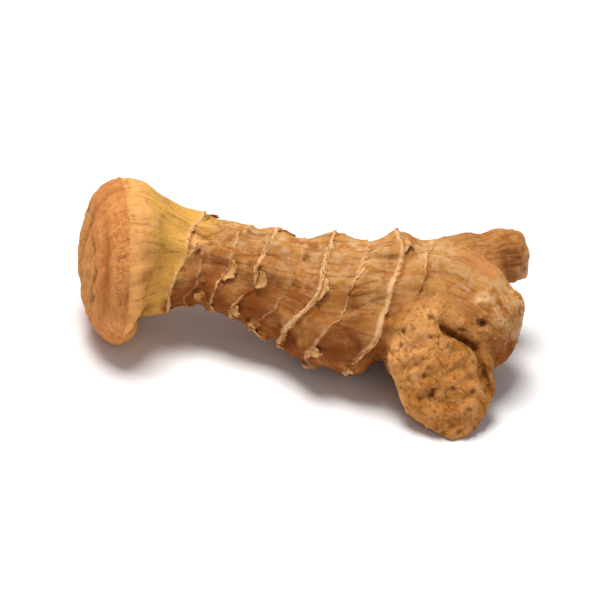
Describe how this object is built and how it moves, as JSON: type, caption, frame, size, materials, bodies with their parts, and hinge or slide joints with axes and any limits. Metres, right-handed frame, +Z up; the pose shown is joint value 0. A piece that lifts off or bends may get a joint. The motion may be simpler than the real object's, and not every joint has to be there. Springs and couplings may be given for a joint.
{
  "type": "dried galangal rhizome piece",
  "caption": "Dried galangal rhizome: a ringed brown finger with a flared pale cut end, a knuckle with a broken branch stump, and a short horn, lying on its side.",
  "frame": {"origin": "middle of the bounding box on the surface that the piece rests on", "axes": "+X along the finger from the cut end to the knuckle, +Y to the back, away from the broken branch, +Z up"},
  "size_m": [0.0596, 0.0302, 0.0214],
  "materials": {
    "dried_root": "matte dried skin, reddish brown, with pale ring scars and an ochre cut face"
  },
  "bodies": {
    "root": {"galangal_rhizome": "dried_root"}
  },
  "joints": []
}
